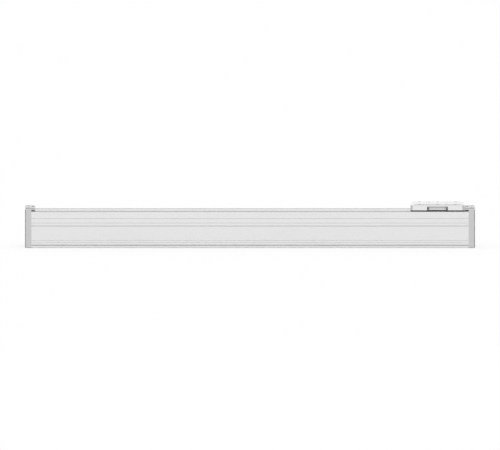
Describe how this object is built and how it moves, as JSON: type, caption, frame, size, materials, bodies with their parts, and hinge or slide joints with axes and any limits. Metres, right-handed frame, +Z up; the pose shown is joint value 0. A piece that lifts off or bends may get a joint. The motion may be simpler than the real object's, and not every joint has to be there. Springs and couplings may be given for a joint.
{
  "type": "passive guide axis",
  "caption": "Long extruded guide axis with end caps and a covered top, along which a bolt-on table slides freely on an internal ball rail to support a load beside a driven axis.",
  "frame": {"origin": "middle of the mounting face, under the middle of the axis", "axes": "+X along the travel towards the end where the slide rests, +Y away from the front side, +Z up through the table"},
  "size_m": [0.6, 0.06, 0.058],
  "materials": {
    "anodised_aluminium": "satin",
    "cap_paint": "satin",
    "stainless_strip": "brushed",
    "bearing_steel": "ground",
    "black_screw": "satin",
    "black_rubber": "matte",
    "runner_plastic": "matte",
    "wiper_plastic": "matte"
  },
  "bodies": {
    "axis_frame": {"profile": "anodised_aluminium", "left_end_cap": "cap_paint", "left_strip_clamp": "cap_paint", "right_end_cap": "cap_paint", "right_strip_clamp": "cap_paint", "cover_strip": "stainless_strip", "guide_rail": "bearing_steel", "rail_screws": "black_screw", "left_cap_screws": "black_screw", "left_clamp_screws": "black_screw", "right_cap_screws": "black_screw", "right_clamp_screws": "black_screw", "left_clamp_pad": "black_rubber", "left_buffers": "black_rubber", "right_clamp_pad": "black_rubber", "right_buffers": "black_rubber", "rail_hole_plugs": "runner_plastic"},
    "slide": {"runner_block": "bearing_steel", "left_runner_cap": "runner_plastic", "right_runner_cap": "runner_plastic", "left_runner_seal": "black_rubber", "right_runner_seal": "black_rubber", "runner_cap_screws": "black_screw", "saddle": "anodised_aluminium", "saddle_screws": "black_screw", "table_plate": "anodised_aluminium", "table_screws": "black_screw", "left_wiper": "wiper_plastic", "right_wiper": "wiper_plastic", "wiper_screws": "black_screw", "slide_seal": "black_rubber"}
  },
  "joints": [
    {"name": "slide_travel", "type": "slide", "parent": "axis_frame", "child": "slide", "axis": [1, 0, 0], "range_m": [-0.5, 0]}
  ]
}
